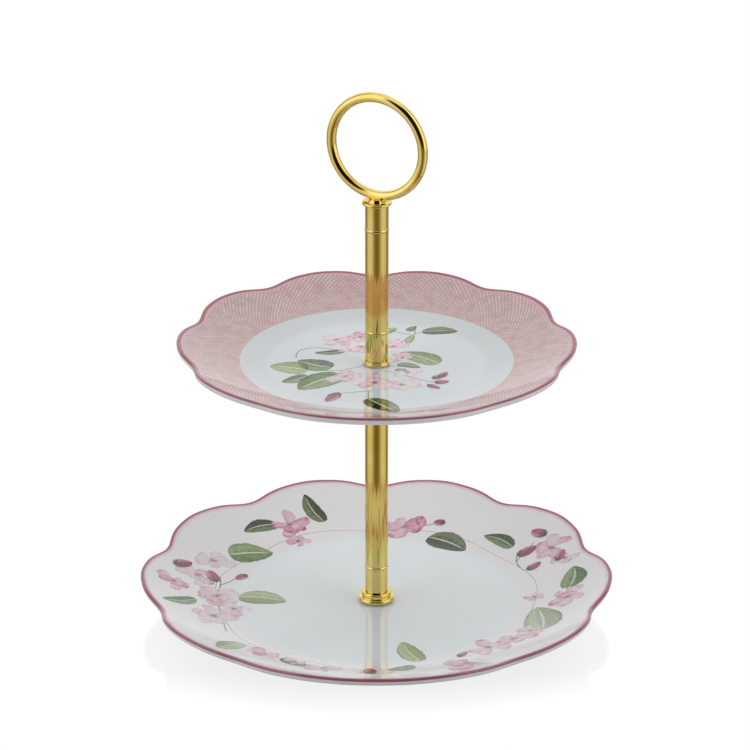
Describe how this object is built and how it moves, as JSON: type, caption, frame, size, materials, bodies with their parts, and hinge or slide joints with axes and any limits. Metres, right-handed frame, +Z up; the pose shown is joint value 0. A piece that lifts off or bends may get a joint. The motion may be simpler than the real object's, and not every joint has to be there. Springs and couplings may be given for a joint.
{
  "type": "tiered cake stand",
  "caption": "Two-tier cake stand: scalloped porcelain dishes on a slim gilt tube rod that screws together, with a round carrying ring on top.",
  "frame": {"origin": "centre of the lower plate's foot ring, on the table plane", "axes": "+Z up along the rod's axis; -Y towards the front; +X to the right, through the middle of a lobe"},
  "size_m": [0.262, 0.255, 0.304],
  "materials": {
    "lower_porcelain": "clear gloss glaze with a floral wreath and a rose line on the rim",
    "upper_porcelain": "clear gloss glaze with a rose lattice band, a floral spray and a rose line on the rim",
    "gilt_metal": "mirror-polished yellow gilt plating",
    "gilt_tube": "mirror-polished yellow gilt plating on drawn tube",
    "insert_brass": "plain turned brass",
    "fastener_steel": "bright nickel-plated steel",
    "soft_washer": "translucent soft vinyl"
  },
  "bodies": {
    "base": {"lower_plate": "lower_porcelain", "base_screw": "fastener_steel", "base_washer": "fastener_steel", "base_cushion": "soft_washer", "lower_cushion": "soft_washer"},
    "lower_foot": {"lower_foot_flange": "gilt_metal"},
    "lower_rod": {"lower_ferrule": "gilt_metal", "lower_bead": "gilt_metal", "lower_tube": "gilt_tube", "lower_tube_insert": "insert_brass", "plate_seat": "gilt_metal", "seat_cushion": "soft_washer", "joining_stud": "fastener_steel"},
    "upper_tier": {"upper_plate": "upper_porcelain"},
    "upper_foot": {"upper_cushion": "soft_washer", "upper_foot_flange": "gilt_metal"},
    "upper_rod": {"upper_ferrule": "gilt_metal", "upper_bead": "gilt_metal", "upper_tube": "gilt_tube", "top_bead": "gilt_metal", "top_ferrule": "gilt_metal"},
    "collar": {"handle_collar": "gilt_metal"},
    "handle": {"handle_ring": "gilt_metal", "handle_neck": "gilt_metal"}
  },
  "joints": [
    {"name": "lower_rod_turn", "type": "hinge", "parent": "base", "child": "lower_foot", "pos_m": [0, 0, 0.0078], "axis": [0, 0, 1], "range_deg": [0, 2880]},
    {"name": "lower_rod_rise", "type": "slide", "parent": "lower_foot", "child": "lower_rod", "axis": [0, 0, 1], "range_m": [0, 0.008]},
    {"name": "upper_tier_turn", "type": "hinge", "parent": "lower_rod", "child": "upper_tier", "pos_m": [0, 0, 0.1454], "axis": [0, 0, 1], "continuous": true},
    {"name": "upper_rod_turn", "type": "hinge", "parent": "lower_rod", "child": "upper_foot", "pos_m": [0, 0, 0.1494], "axis": [0, 0, 1], "range_deg": [0, 2880]},
    {"name": "upper_rod_rise", "type": "slide", "parent": "upper_foot", "child": "upper_rod", "axis": [0, 0, 1], "range_m": [0, 0.008]},
    {"name": "handle_turn", "type": "hinge", "parent": "upper_rod", "child": "collar", "pos_m": [0, 0, 0.2418], "axis": [0, 0, 1], "range_deg": [0, 2880]},
    {"name": "handle_rise", "type": "slide", "parent": "collar", "child": "handle", "axis": [0, 0, 1], "range_m": [0, 0.008]}
  ],
  "couplings": [
    {"joint": "lower_rod_turn", "follows": "lower_rod_rise", "rad_per_m": 6283.2},
    {"joint": "upper_rod_turn", "follows": "upper_rod_rise", "rad_per_m": 6283.2},
    {"joint": "handle_turn", "follows": "handle_rise", "rad_per_m": 6283.2}
  ]
}
